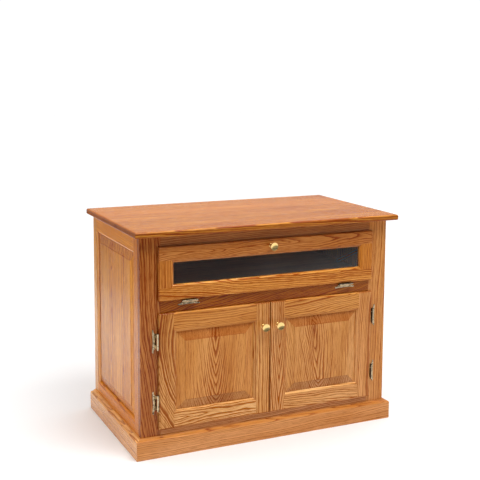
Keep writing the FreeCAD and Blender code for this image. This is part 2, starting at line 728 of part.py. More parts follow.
# ---------------------------------------------------------------- stay of the drop-front door
def stay_points():
    """Stud on the door and pin on the cabinet, at one radius from the door's hinge axis.

    Because the two radii are equal, the arm between them turns by exactly half of the
    door's angle. The arm's slot slides over the pin and ends it at a quarter turn.
    """
    axis = hinge_place("drop")[1][0]
    radius = math.hypot(*STAY_STUD)
    stud_angle = math.degrees(math.atan2(STAY_STUD[1], STAY_STUD[0]))
    pin = arc_point((axis.y, axis.z), radius, STAY_PIN_ANGLE)
    apart = stud_angle - STAY_PIN_ANGLE
    return {
        "stud": Vec(STAY_X, axis.y + STAY_STUD[0], axis.z + STAY_STUD[1]),
        "pin": Vec(STAY_X, pin[0], pin[1]),
        "slope": (stud_angle + STAY_PIN_ANGLE) / 2 - 90,
        "shut": 2 * radius * math.sin(math.radians(apart / 2)),
        "open": 2 * radius * math.sin(math.radians((apart + DROP_DOOR_ANGLE) / 2)),
    }


def slot_bar(start, end, half_width, depth):
    """A bar along +Y with round ends, its thickness from X 0."""
    middle = box((0, depth), (start, end), both(half_width))
    for y in (start, end):
        middle = middle.fuse(rod(half_width, depth, Vec(0, y, 0), Vec(1, 0, 0)))
    return middle.removeSplitter()


def make_stay():
    at = stay_points()
    arm = slot_bar(0, at["open"] + 3, STAY_HALF_WIDTH, STAY_T)
    arm = arm.cut(slot_bar(at["shut"] - 2, at["open"], STAY_PIN_R + STAY_GAP, STAY_T))
    arm = arm.cut(rod(STAY_STUD_R + 0.1, STAY_T, Vec(0, 0, 0), Vec(1, 0, 0)))
    NODES["stay_arm"] = turned(arm, Vec(1, 0, 0), at["slope"], at["stud"])
    NODES["stay_bracket"] = Part.makeCompound(stay_bracket(at["stud"]))
    pin = stay_screw(at["pin"])
    pieces = NODES["cleats_and_blocks"].Solids
    NODES["cleats_and_blocks"] = Part.makeCompound([piece.cut(pin) for piece in pieces])


def stay_bracket(stud):
    """An angle plate on the door's back with the stud that the arm turns on."""
    back = FACE_Y - DOOR_FRONT + BOARD
    ear = (stud.x - STAY_GAP - STAY_T, stud.x - STAY_GAP)
    side = box(ear, (back, stud.y), (stud.z - 8, stud.z + 8))
    side = side.fuse(rod(8, STAY_T, Vec(ear[0], stud.y, stud.z), Vec(1, 0, 0)))
    foot = box((ear[1] - 20, ear[1]), (back, back + STAY_T), (stud.z - 8, stud.z + 8))
    plate = side.fuse(foot).removeSplitter()
    across = Vec(1, 0, 0)
    shank = rod(STAY_STUD_R, 2 * STAY_T + 2 * STAY_GAP, Vec(ear[0], stud.y, stud.z), across)
    head_x = stud.x + STAY_T + STAY_GAP
    rivet = shank.fuse(rod(STAY_STUD_R + 1.6, 1.2, Vec(head_x, stud.y, stud.z), across))
    rivet = rivet.fuse(rod(STAY_STUD_R + 1.2, 0.8, Vec(ear[0] - 0.8, stud.y, stud.z), across))
    return [plate.cut(rivet), rivet.removeSplitter()]


def stay_screw(pin):
    """Shoulder screw in the block, from its head towards the side frame."""
    across = Vec(1, 0, 0)
    head = pin.x - STAY_GAP - 2.0
    screw_steps = (
        (STAY_PIN_R + 2.5, head, head + 2.0),
        (STAY_PIN_R, head, OPEN_X),
        (STAY_PIN_R + 2.5, pin.x + STAY_T + STAY_GAP, OPEN_X),
        (1.8, OPEN_X - 1, OPEN_X + 22),
    )
    whole = None
    for radius, x0, x1 in screw_steps:
        piece = rod(radius, x1 - x0, Vec(x0, pin.y, pin.z), across)
        whole = piece if whole is None else whole.fuse(piece)
    return whole.removeSplitter()


# ---------------------------------------------------------------- build
def main():
    make_top()
    make_side_frames()
    make_face_frame()
    make_base()
    make_inside()
    make_back()
    make_lower_doors()
    make_drop_door()
    make_catches()
    make_hinges()
    make_stay()
    os.makedirs("parts", exist_ok=True)
    for name, shape in sorted(NODES.items()):
        solids = shape.Solids
        whole = Part.makeCompound(solids) if len(solids) > 1 else solids[0]
        if not whole.isValid():
            print("NOT VALID", name)
        whole.exportStep(f"parts/{name}.step")
        print(f"{name:32s} solids {len(solids):2d}  volume {whole.Volume / 1000:9.1f} cm3")
    print(len(NODES), "nodes")


main()
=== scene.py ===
import json
import math

import bpy
from mathutils import Matrix, Vector


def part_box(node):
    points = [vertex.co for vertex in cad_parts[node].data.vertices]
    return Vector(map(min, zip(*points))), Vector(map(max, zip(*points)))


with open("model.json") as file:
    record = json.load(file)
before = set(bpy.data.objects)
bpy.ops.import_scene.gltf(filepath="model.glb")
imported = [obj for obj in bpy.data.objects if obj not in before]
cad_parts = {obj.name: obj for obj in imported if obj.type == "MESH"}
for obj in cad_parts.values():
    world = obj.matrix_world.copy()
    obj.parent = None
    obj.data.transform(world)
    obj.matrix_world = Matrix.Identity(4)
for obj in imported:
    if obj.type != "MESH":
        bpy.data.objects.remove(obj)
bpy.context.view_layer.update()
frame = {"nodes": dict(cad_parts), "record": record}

# The looks of an oak television cabinet. Its doors face -Y. Lengths are in metres.
nodes = frame["nodes"]
AXES = {"x": 0, "y": 1, "z": 2}


# ---------------------------------------------------------------- node helpers
def new_tree(name):
    """A new material, its node tree, and the Principled shader in it."""
    material = bpy.data.materials.new(name)
    material.use_nodes = True
    tree = material.node_tree
    tree.nodes.clear()
    output = tree.nodes.new("ShaderNodeOutputMaterial")
    shader = tree.nodes.new("ShaderNodeBsdfPrincipled")
    tree.links.new(shader.outputs["BSDF"], output.inputs["Surface"])
    return material, tree, shader


def feed(tree, socket, value):
    """Links a node's output to a socket, or sets the socket to a plain value."""
    if isinstance(value, bpy.types.NodeSocket):
        tree.links.new(value, socket)
    elif value is not None:
        socket.default_value = value


def math_node(tree, operation, a, b=None, c=None, clamp=False):
    node = tree.nodes.new("ShaderNodeMath")
    node.operation = operation
    node.use_clamp = clamp
    for socket, value in zip(node.inputs, (a, b, c)):
        feed(tree, socket, value)
    return node.outputs[0]


def vector_node(tree, operation, a, b=None):
    node = tree.nodes.new("ShaderNodeVectorMath")
    node.operation = operation
    for socket, value in zip(node.inputs, (a, b)):
        feed(tree, socket, value)
    return node.outputs["Value" if operation in ("LENGTH", "DOT_PRODUCT") else "Vector"]


def noise_node(tree, vector, scale, detail, rough, stretch=(1, 1, 1)):
    """Noise in a space that is squeezed by stretch before it is scaled."""
    node = tree.nodes.new("ShaderNodeTexNoise")
    feed(tree, node.inputs["Vector"], vector_node(tree, "MULTIPLY", vector, stretch))
    node.inputs["Scale"].default_value = scale
    node.inputs["Detail"].default_value = detail
    node.inputs["Roughness"].default_value = rough
    return node


def ramp_node(tree, value, stops, mode="LINEAR"):
    """A colour ramp. stops are (position, grey or colour)."""
    node = tree.nodes.new("ShaderNodeValToRGB")
    node.color_ramp.interpolation = mode
    elements = node.color_ramp.elements
    while len(elements) < len(stops):
        elements.new(0.5)
    for element, (position, colour) in zip(elements, stops):
        element.position = position
        grey = isinstance(colour, (int, float))
        element.color = (colour, colour, colour, 1) if grey else (*colour, 1)
    feed(tree, node.inputs["Fac"], value)
    return node.outputs["Color"]


def mix_colour(tree, factor, a, b, blend="MIX"):
    node = tree.nodes.new("ShaderNodeMix")
    node.data_type = "RGBA"
    node.blend_type = blend
    sockets = [s for s in node.inputs if s.type == "RGBA"]
    feed(tree, node.inputs["Factor"], factor)
    for socket, value in zip(sockets, (a, b)):
        if not isinstance(value, bpy.types.NodeSocket):
            value = (*value, 1) if len(value) == 3 else value
        feed(tree, socket, value)
    return [s for s in node.outputs if s.type == "RGBA"][0]


def bump_node(tree, height, strength, distance):
    node = tree.nodes.new("ShaderNodeBump")
    node.inputs["Strength"].default_value = strength
    node.inputs["Distance"].default_value = distance
    feed(tree, node.inputs["Height"], height)
    return node.outputs["Normal"]


def srgb(red, green, blue):
    """A linear colour from 0 to 255 display values."""
    def linear(v):
        v = v / 255
        return v / 12.92 if v <= 0.04045 else ((v + 0.055) / 1.055) ** 2.4
    return tuple(linear(v) for v in (red, green, blue))


# ---------------------------------------------------------------- oak
OAK_INPUTS = {
    "Vector": "NodeSocketVector",
    "End grain": "NodeSocketFloat",       # 0 on a face or edge, 1 on a sawn end
    "Seed": "NodeSocketFloat",
    "Stave width": "NodeSocketFloat",     # width of the strips that the board is glued up from
    "Stave spread": "NodeSocketFloat",    # how much those strips differ
    "Heart across": "NodeSocketFloat",    # where the tree's heart lies beside the board's middle
    "Heart depth": "NodeSocketFloat",     # and how far behind its face
    "Lean": "NodeSocketFloat",            # of the heart towards the face, along the board
    "Slant": "NodeSocketFloat",           # of the heart to one side, along the board
    "Curl": "NodeSocketFloat",            # how much that slant grows, along the board
    "Ring width": "NodeSocketFloat",
    "Wander": "NodeSocketFloat",          # how much the grain waves
    "Flank": "NodeSocketFloat",           # strength of the lines beside the arched figure
    "Contrast": "NodeSocketFloat",
    "Light": "NodeSocketColor",
    "Dark": "NodeSocketColor",
}


# repeats per metre along the grain, across it and into the board
PORES = (30.0, 1150.0, 1150.0)
FIBRES = (4.0, 260.0, 260.0)
RAY_FLECKS = (48.0, 1500.0, 700.0)
WARM_PATCHES = (2.5, 13.0, 13.0)

# repeats per metre, and how far the grain moves sideways
GRAIN_WAVES = (
    ((2.6, 9, 9), 0.026),
    ((7, 26, 26), 0.0075),
    ((19, 64, 64), 0.003),
)
RING_POINT = 1.35       # 2 is a round ring, 1 is a diamond
RING_DRIFT = 2.0        # how many rings the noise moves a ring by
RING_DRIFT_SCALE = 60.0
FAINTEST_RING = 0.45
EARLY_WOOD = [          # darkness through one ring
    (0.0, 0.3), (0.035, 1.0), (0.13, 0.95), (0.28, 0.45), (0.52, 0.15), (0.93, 0.0), (1.0, 0.3),
]
FLANKS = [(0.42, 0.0), (0.85, 1.0)]     # from the arched figure outwards
SEED_STEP = 0.731       # from one board's wood to the next board's
STAVE_JUMP = 18.0       # how much further a glued strip starts along the grain than across it
STAVE_TONE = 3.5        # how much the strips' tones spread
LIGHTEST = -0.43        # shade of the wood before its lines, pores, fibres and flecks are added
END_GRAIN_SHADE = 0.8
WARMTH = [              # slow changes of colour along a board
    (0.3, (0.86, 0.73, 0.5)), (0.5, (1.0, 0.97, 0.9)), (0.7, (1.1, 1.16, 1.3)),
]
GRAIN_RELIEF = 0.0004


def scaled(tree, vector, factor):
    """A vector times a number that may be linked."""
    node = tree.nodes.new("ShaderNodeVectorMath")
    node.operation = "SCALE"
    feed(tree, node.inputs[0], vector)
    feed(tree, node.inputs["Scale"], factor)
    return node.outputs["Vector"]


def split_vector(tree, vector):
    node = tree.nodes.new("ShaderNodeSeparateXYZ")
    feed(tree, node.inputs[0], vector)
    return tuple(node.outputs)


def join_vector(tree, x, y, z):
    node = tree.nodes.new("ShaderNodeCombineXYZ")
    for socket, value in zip(node.inputs, (x, y, z)):
        feed(tree, socket, value)
    return node.outputs[0]


def random_node(tree, number):
    """Three random numbers from 0 to 1 that go with a whole number."""
    node = tree.nodes.new("ShaderNodeTexWhiteNoise")
    node.noise_dimensions = "1D"
    feed(tree, node.inputs["W"], number)
    return split_vector(tree, node.outputs["Color"])


def staves(tree, given):
    """The board's own space, restarted in each glued strip, and a random number for its tone."""
    along, across, depth = split_vector(tree, given["Vector"])
    count = math_node(tree, "DIVIDE", across, given["Stave width"])
    number = math_node(tree, "ROUND", count)
    first, second, third = random_node(tree, math_node(tree, "ADD", number, given["Seed"]))
    middle = math_node(tree, "MULTIPLY", number, given["Stave width"])
    across = math_node(tree, "SUBTRACT", across, middle)
    shift = math_node(tree, "MULTIPLY", math_node(tree, "SUBTRACT", first, 0.5), given["Stave spread"])
    across = math_node(tree, "ADD", across, shift)
    jump = math_node(tree, "MULTIPLY", math_node(tree, "SUBTRACT", second, 0.5), given["Stave spread"])
    along = math_node(tree, "MULTIPLY_ADD", jump, STAVE_JUMP, along)
    tone = math_node(tree, "MULTIPLY", math_node(tree, "SUBTRACT", third, 0.5), given["Stave spread"])
    return join_vector(tree, along, across, depth), tone


def bend_grain(tree, place, wander):
    """Moves the place across and into the board, in three sizes of wave."""
    moves = None
    for stretch, size in GRAIN_WAVES:
        noise = noise_node(tree, place, 1.0, 1.5, 0.5, stretch).outputs["Color"]
        centred = vector_node(tree, "SUBTRACT", noise, (0.5, 0.5, 0.5))
        sideways = vector_node(tree, "MULTIPLY", centred, (0, size, size))
        moves = sideways if moves is None else vector_node(tree, "ADD", moves, sideways)
    return vector_node(tree, "ADD", place, scaled(tree, moves, wander))


def ring_distance(tree, place, given):
    """Distance from the tree's heart, and the strength of the lines there.

    The heart leans and curves through the board.
    The rings are a little angular, so that they come to points where the heart is close.
    """
    along, across, depth = split_vector(tree, place)
    drift = math_node(tree, "MULTIPLY_ADD", along, given["Slant"], given["Heart across"])
    square = math_node(tree, "MULTIPLY", along, along)
    drift = math_node(tree, "MULTIPLY_ADD", square, given["Curl"], drift)
    beside = math_node(tree, "SUBTRACT", across, drift)
    sink = math_node(tree, "MULTIPLY_ADD", along, given["Lean"], given["Heart depth"])
    behind = math_node(tree, "ADD", depth, sink)
    sides = [
        math_node(tree, "POWER", math_node(tree, "ABSOLUTE", side), RING_POINT)
        for side in (beside, behind)
    ]
    radius = math_node(tree, "POWER", math_node(tree, "ADD", *sides), 1 / RING_POINT)
    side = math_node(tree, "DIVIDE", math_node(tree, "ABSOLUTE", beside), radius)
    side = ramp_node(tree, side, FLANKS)
    strength = math_node(tree, "MULTIPLY_ADD", side, math_node(tree, "SUBTRACT", given["Flank"], 1.0), 1.0)
    return radius, strength


def year_rings(tree, radius, given):
    """Dark early wood with a sharp inner edge, each ring of its own width and strength."""
    drift = tree.nodes.new("ShaderNodeTexNoise")
    drift.noise_dimensions = "1D"
    drift.inputs["Scale"].default_value = RING_DRIFT_SCALE
    drift.inputs["Detail"].default_value = 1.0
    feed(tree, drift.inputs["W"], math_node(tree, "ADD", radius, given["Seed"]))
    ring = math_node(tree, "DIVIDE", radius, given["Ring width"])
    ring = math_node(tree, "MULTIPLY_ADD", drift.outputs["Fac"], RING_DRIFT, ring)
    year = math_node(tree, "FLOOR", ring)
    strong, _, _ = random_node(tree, math_node(tree, "ADD", year, given["Seed"]))
    strong = math_node(tree, "MULTIPLY_ADD", strong, 1 - FAINTEST_RING, FAINTEST_RING)
    early = ramp_node(tree, math_node(tree, "FRACT", ring), EARLY_WOOD)
    return math_node(tree, "MULTIPLY", early, strong)


def oak_group():
    """Solid oak: growth rings round a leaning heart, with pores, fibres and ray flecks.

    Its vector is in the board's own metres: along the grain, across it, and into its depth.
    """
    group = bpy.data.node_groups.new("oak_rings", "ShaderNodeTree")
    for name, kind in OAK_INPUTS.items():
        group.interface.new_socket(name, in_out="INPUT", socket_type=kind)
    for name, kind in (
        ("Color", "NodeSocketColor"),
        ("Roughness", "NodeSocketFloat"),
        ("Normal", "NodeSocketVector"),
    ):
        group.interface.new_socket(name, in_out="OUTPUT", socket_type=kind)
    given = group.nodes.new("NodeGroupInput").outputs
    result = group.nodes.new("NodeGroupOutput").inputs

    strip, tone = staves(group, given)
    seed_step = math_node(group, "MULTIPLY", given["Seed"], SEED_STEP)
    place = vector_node(group, "ADD", strip, join_vector(group, seed_step, seed_step, 0.0))
    offset = vector_node(group, "SUBTRACT", bend_grain(group, place, given["Wander"]), place)
    radius, strength = ring_distance(group, vector_node(group, "ADD", strip, offset), given)
    early = math_node(group, "MULTIPLY", year_rings(group, radius, given), strength)

    pores = noise_node(group, place, 1.0, 1.0, 0.4, PORES).outputs["Fac"]
    pores = ramp_node(group, pores, [(0.5, 0.0), (0.62, 1.0)])
    pores = math_node(group, "MULTIPLY", pores, math_node(group, "MULTIPLY_ADD", early, 0.8, 0.2))
    bent = vector_node(group, "ADD", place, offset)
    fibres = noise_node(group, bent, 1.0, 4.0, 0.7, FIBRES).outputs["Fac"]
    flecks = noise_node(group, place, 1.0, 1.0, 0.5, RAY_FLECKS).outputs["Fac"]
    flecks = ramp_node(group, flecks, [(0.66, 0.0), (0.72, 1.0)])
    patches = noise_node(group, place, 1.0, 2.0, 0.5, WARM_PATCHES).outputs["Fac"]

    shade = LIGHTEST
    for part, weight in ((early, 0.95), (pores, 0.75), (fibres, 0.8), (flecks, 0.25)):
        shade = math_node(group, "MULTIPLY_ADD", part, weight, shade)
    shade = math_node(group, "MULTIPLY", shade, math_node(group, "MULTIPLY", given["Contrast"], 1.9))
    shade = math_node(group, "MULTIPLY_ADD", given["End grain"], END_GRAIN_SHADE, shade, clamp=True)
    colour = mix_colour(group, shade, given["Light"], given["Dark"])
    colour = mix_colour(group, 1.0, colour, ramp_node(group, patches, WARMTH), "MULTIPLY")
    own = math_node(group, "MULTIPLY_ADD", tone, STAVE_TONE, 1.0)
    own = math_node(group, "MULTIPLY_ADD", pores, -0.3, own)
    colour = scaled(group, colour, own)

    rough = math_node(group, "MULTIPLY_ADD", early, 0.06, 0.17)
    rough = math_node(group, "MULTIPLY_ADD", pores, 0.15, rough)
    low = math_node(group, "MULTIPLY_ADD", pores, -1.0, math_node(group, "MULTIPLY", fibres, 0.3))
    low = math_node(group, "MULTIPLY_ADD", early, -0.35, low)
    feed(group, result["Color"], colour)
    feed(group, result["Roughness"], rough)
    feed(group, result["Normal"], bump_node(group, low, 0.35, GRAIN_RELIEF))
    return group


OAK = oak_group()
HONEY = srgb(224, 152, 78)
HONEY_LINE = srgb(162, 74, 0)   # of the dark grain lines
PLAIN_CUT = {
    "Stave width": 10.0,    # wider than any board, so that it is one piece
    "Stave spread": 0.0, "Heart across": 0.06, "Heart depth": 0.03, "Lean": 0.05, "Slant": 0.0,
    "Curl": 0.0, "Ring width": 0.0055, "Wander": 1.0, "Flank": 1.0, "Contrast": 1.0,
}
SHINE = 0.35
FRONT_SHINE = 0.2               # of the boards whose face is to the front
BEVEL_SLOPE = (0.04, 0.12)      # upward part of the normal, from a panel's flat to its bevel


def board_spaces(tree, centre, along, face):
    """Where a point is in its board, and how far its surface is a sawn end, a face, or upward."""
    across = ({"x", "y", "z"} - {along, face}).pop()
    coordinates = tree.nodes.new("ShaderNodeTexCoord").outputs
    parts = split_vector(tree, vector_node(tree, "SUBTRACT", coordinates["Object"], tuple(centre)))
    vector = join_vector(tree, *(parts[AXES[axis]] for axis in (along, across, face)))
    normal = split_vector(tree, vector_node(tree, "ABSOLUTE", coordinates["Normal"]))
    end = ramp_node(tree, normal[AXES[along]], [(0.08, 0.0), (0.2, 0.28), (1.0, 0.62)])
    upward = split_vector(tree, coordinates["Normal"])[AXES["z"]]
    return vector, end, normal[AXES[face]], upward


def tinted(colour, tint):
    return (*(c * t for c, t in zip(colour, tint)), 1)


def tone_edges(tree, colour, flat, upward, cut):
    """Darkens a board's edges, paints light or shade on its upper edge, and paints shade on the bevels of a
    raised panel.
    """
    edge = ramp_node(tree, flat, [(0.3, cut.get("edge", 1.0)), (0.9, 1.0)])
    colour = mix_colour(tree, 1.0, colour, edge, "MULTIPLY")
    # painted light on upward-facing edges: a painted highlight where the tone is above 1, painted shade
    # where it is below 1
    upper = ramp_node(tree, upward, [(0.2, 1.0), (0.6, cut.get("upper", (1, 1, 1)))])
    colour = mix_colour(tree, 1.0, colour, upper, "MULTIPLY")
    # painted shade on a raised panel's bevels: the upper bevel darker, the lower bevel darker with a bluish
    # painted sheen
    if "above" in cut:
        bevels = ramp_node(tree, math_node(tree, "ADD", upward, 0.5), [
            (0.5 - BEVEL_SLOPE[1], cut["below"]), (0.5 - BEVEL_SLOPE[0], 1.0),
            (0.5 + BEVEL_SLOPE[0], 1.0), (0.5 + BEVEL_SLOPE[1], cut["above"]),
        ])
        colour = mix_colour(tree, 1.0, colour, bevels, "MULTIPLY")
    return colour


def oak(name, centre, along, face, seed, cut):
    """The finish of one board. cut says where its heart lies, and how it is toned."""
    material, tree, shader = new_tree(name)
    group = tree.nodes.new("ShaderNodeGroup")
    group.node_tree = OAK
    vector, end, flat, upward = board_spaces(tree, centre, along, face)
    feed(tree, group.inputs["Vector"], vector)
    feed(tree, group.inputs["End grain"], end)
    # the tint holds the board's own tone together with painted shade, as under the top's overhang, and
    # painted sheen, as on the lower boards
    tint = cut.get("tint", (1, 1, 1))
    values = {**PLAIN_CUT, "Seed": seed, "Light": tinted(HONEY, tint), "Dark": tinted(HONEY_LINE, tint)}
    for key, value in values.items():
        group.inputs[key].default_value = cut.get(key.lower().replace(" ", "_"), value)
    if "calm" in cut:
        slope = math_node(tree, "ABSOLUTE", upward)
        contrast = ramp_node(tree, slope, list(zip(BEVEL_SLOPE, (cut["contrast"], cut["calm"]))))
        feed(tree, group.inputs["Contrast"], contrast)
    rough = math_node(tree, "ADD", group.outputs["Roughness"], cut.get("dull", 0.0))
    feed(tree, shader.inputs["Base Color"], tone_edges(tree, group.outputs["Color"], flat, upward, cut))
    feed(tree, shader.inputs["Roughness"], rough)
    feed(tree, shader.inputs["Normal"], group.outputs["Normal"])
    shine = FRONT_SHINE if face == "y" else SHINE
    shader.inputs["Specular IOR Level"].default_value = cut.get("shine", shine)
    return material


# ---------------------------------------------------------------- boards
def grain_of(name):
    """(along, face) of a wooden node, from its name."""
    if name in ("top_panel", "cupboard_floor", "fixed_shelf", "adjustable_shelf"):
        return "x", "z"
    if "_side_" in name:
        return ("y" if name.endswith("rail") else "z"), "x"
    if name in ("base_left_board", "base_right_board"):
        return "y", "x"
    if name.endswith(("rail", "base_front_board")) or name == "drop_door_glass_stops":
        return "x", "y"
    if name == "cleats_and_blocks":
        return "y", "z"
    return "z", "y"


PAINTED_EDGE_HIGHLIGHT = (1.4, 1.55, 1.6)     # painted highlight on the upper edge of a door's rail

# How single boards differ from PLAIN_CUT. The keys that aren't in it are the tint of both oak colours,
# the board's own tone together with painted shade and painted sheen; edge, upper, above and below, the tones
# of edges, painted light on upper edges and painted shade on a panel's bevels; calm, the contrast on those
# bevels; and shine.
CUTS = {
    "top_panel": dict(
        stave_width=0.11, stave_spread=0.05, heart_depth=0.05, lean=0.03, contrast=1.3,
        tint=(1.12, 1.08, 0.62), edge=0.72, shine=0.22),
    "left_side_panel": dict(
        stave_width=0.135, stave_spread=0.04, heart_across=0.03, heart_depth=0.035, lean=0.05,
        ring_width=0.006, flank=0.4, contrast=1.3, tint=(1.14, 1.15, 0.64)),
    "right_side_panel": dict(
        stave_width=0.135, stave_spread=0.04, heart_across=0.01, heart_depth=0.035, lean=0.05,
        ring_width=0.007, flank=0.4, contrast=1.1, tint=(1.13, 1.11, 0.68)),
    "left_side_front_stile": dict(heart_across=0.07, contrast=0.8, tint=(1.09, 0.94, 0.49)),
    "left_side_back_stile": dict(heart_across=0.1, contrast=0.7, tint=(1.35, 1.6, 1.38), shine=0.9),
    "left_side_top_rail": dict(heart_across=0.07, contrast=0.8, tint=(1.29, 1.23, 0.6)),
    "left_side_bottom_rail": dict(heart_across=0.1, contrast=0.8, tint=(1.15, 0.98, 0.28), shine=0.15),
    "left_door_panel": dict(
        heart_across=0.0, heart_depth=0.034, lean=-0.17, ring_width=0.0065, wander=0.8, flank=0.18,
        contrast=1.4, tint=(0.89, 0.93, 0.96),
        calm=0.9, above=(0.89, 0.76, 0.72), below=(0.88, 0.93, 1.15)),
    "left_door_hinge_stile": dict(
        heart_across=-0.1, heart_depth=0.02, slant=-0.2, curl=1.1, ring_width=0.0095, wander=1.4,
        contrast=0.9, tint=(0.85, 0.93, 1.05)),
    "left_door_meeting_stile": dict(
        heart_across=-0.12, heart_depth=0.01, ring_width=0.007, wander=0.6, contrast=1.05,
        tint=(0.96, 1.12, 1.37)),
    "left_door_top_rail": dict(
        heart_across=0.03, heart_depth=0.06, lean=0.02, ring_width=0.0055, contrast=0.55,
        tint=(0.84, 0.83, 0.73), upper=PAINTED_EDGE_HIGHLIGHT),
    "left_door_bottom_rail": dict(
        heart_across=-0.003, heart_depth=0.03, lean=0.03, ring_width=0.005, wander=1.4,
        contrast=1.4, tint=(1.12, 1.5, 2.42), upper=PAINTED_EDGE_HIGHLIGHT),
    "right_door_panel": dict(
        heart_across=-0.02, heart_depth=0.045, lean=-0.13, slant=-0.12, ring_width=0.0062,
        wander=1.6, flank=0.3, contrast=1.15, tint=(0.92, 1.04, 1.3),
        calm=0.8, above=(0.88, 0.75, 0.71), below=(0.87, 0.91, 1.13)),
    "right_door_meeting_stile": dict(
        heart_across=0.004, heart_depth=0.025, lean=-0.1, ring_width=0.006, wander=0.8,
        contrast=1.4, tint=(0.94, 1.09, 1.45)),
    "right_door_top_rail": dict(
        heart_across=0.03, heart_depth=0.05, slant=0.04, ring_width=0.0055,
        contrast=0.75, tint=(0.88, 0.92, 0.86), upper=PAINTED_EDGE_HIGHLIGHT),
    "right_door_bottom_rail": dict(
        heart_across=-0.03, heart_depth=0.06, ring_width=0.005, wander=1.2, contrast=0.95,
        tint=(1.09, 1.43, 2.41), upper=PAINTED_EDGE_HIGHLIGHT),
    "right_door_hinge_stile": dict(
        heart_across=0.03, heart_depth=0.04, lean=0.03, ring_width=0.0055, contrast=0.65,
        tint=(0.95, 1.06, 1.42)),
    "drop_door_bottom_rail": dict(
        heart_across=0.05, heart_depth=0.02, slant=-0.08, ring_width=0.0055, wander=1.2,
        contrast=1.3, tint=(0.96, 0.99, 0.78), upper=PAINTED_EDGE_HIGHLIGHT),
    "drop_door_top_rail": dict(
        heart_across=0.005, heart_depth=0.045, lean=0.05, ring_width=0.0042, wander=1.4,
        contrast=0.85, tint=(0.74, 0.68, 0.67)),
    "drop_door_left_stile": dict(heart_across=0.1, tint=(0.85, 0.8, 0.64)),
    "drop_door_right_stile": dict(heart_across=0.1, contrast=0.7, tint=(0.8, 0.68, 0.36)),
    "face_frame_left_stile": dict(
        heart_across=-0.05, heart_depth=0.02, slant=-0.08, curl=0.15, ring_width=0.0085, wander=1.7,
        contrast=1.6, tint=(0.68, 0.59, 0.56)),
    "face_frame_right_stile": dict(heart_across=0.09, contrast=0.8, tint=(0.95, 1.03, 1.21)),
    "face_frame_top_rail": dict(heart_across=0.07, contrast=0.8, tint=(0.67, 0.68, 0.92)),
    "face_frame_mid_rail": dict(
        heart_across=0.05, heart_depth=0.012, slant=0.22, ring_width=0.006, contrast=1.1,
        tint=(0.54, 0.39, 0.12)),
    "face_frame_bottom_rail": dict(heart_across=0.07, contrast=0.8, tint=(0.95, 1.09, 1.72)),
    "base_front_board": dict(
        heart_across=0.1, contrast=0.55, wander=0.9, tint=(0.98, 1.08, 1.57),
        upper=(0.94, 0.82, 0.52)),
    "base_left_board": dict(heart_across=0.1, contrast=0.85, wander=0.9, tint=(1.27, 1.48, 1.65), shine=0.9),
}


WOODEN = ("oak_frame", "oak_top", "oak_panel", "oak_plywood", "plain_wood")
INSIDE_BOARDS = ("cupboard_floor", "fixed_shelf", "adjustable_shelf")
INSIDE_DULL = 0.25      # roughness added to the wood inside


def dress_boards():
    """Gives every board a wood of its own. The ones without a cut differ by where their heart lies."""
    slots = {row["node"]: row["material_slot"] for row in frame["record"]["subparts"]}
    for index, (name, node) in enumerate(sorted(nodes.items())):
        if slots[name] not in WOODEN:
            continue
        low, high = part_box(name)
        along, face = grain_of(name)
        inside = name in INSIDE_BOARDS or slots[name] == "plain_wood"
        plain = dict(heart_across=0.05 + 0.02 * (index % 4), wander=0.9, contrast=0.8)
        plain["dull"] = INSIDE_DULL if inside else 0.0
        cut = CUTS.get(name, plain)
        node.material_slots[0].material = oak(name + "_oak", (low + high) / 2, along, face, index, cut)
        ease_edges(node)


ARRIS = 0.0009          # width of the soft arris
LEAST_TURN = math.radians(40)   # edges that turn less stay as they are


def ease_edges(node):
    """Soft arrises, as a sanded board has."""
    weld = node.modifiers.new("weld", "WELD")
    weld.merge_threshold = 1e-5
    bevel = node.modifiers.new("arris", "BEVEL")
    bevel.width = ARRIS
    bevel.segments = 2
    bevel.limit_method = "ANGLE"
    bevel.angle_limit = LEAST_TURN
    bevel.use_clamp_overlap = True
    shading = node.modifiers.new("shading", "WEIGHTED_NORMAL")
    shading.keep_sharp = True


# ---------------------------------------------------------------- other finishes
METAL_WEAR = 900.0      # repeats per metre of the fine wear
METAL_PATCHES = METAL_WEAR / 7
FINE_RELIEF = 0.0002    # height of the wear in metal, and of the grain in plastic


def tarnish_and_painted_shade(tree, coordinates, patches):
    """Where metal is tarnished in patches on flat plates, and where shade is painted on rounded faces
    towards the door or upward.
    """
    normal = split_vector(tree, coordinates["Normal"])
    flat = ramp_node(tree, math_node(tree, "ABSOLUTE", normal[1]), [(0.85, 0.1), (0.99, 0.95)])
    share = ramp_node(tree, patches, [(0.38, 0.3), (0.68, 1.0)])
    share = math_node(tree, "MULTIPLY", share, flat)
    # painted shade on rounded faces that turn towards the door or upward, in the crevice between barrel and
    # door
    outer_side = math_node(tree, "SIGN", split_vector(tree, coordinates["Object"])[0])
    inward = math_node(tree, "MULTIPLY", normal[0], math_node(tree, "MULTIPLY", outer_side, -1.0))
    corner = ramp_node(tree, math_node(tree, "MAXIMUM", inward, normal[2]), [(0.2, 0.0), (0.65, 0.9)])
    return math_node(tree, "MAXIMUM", share, corner)


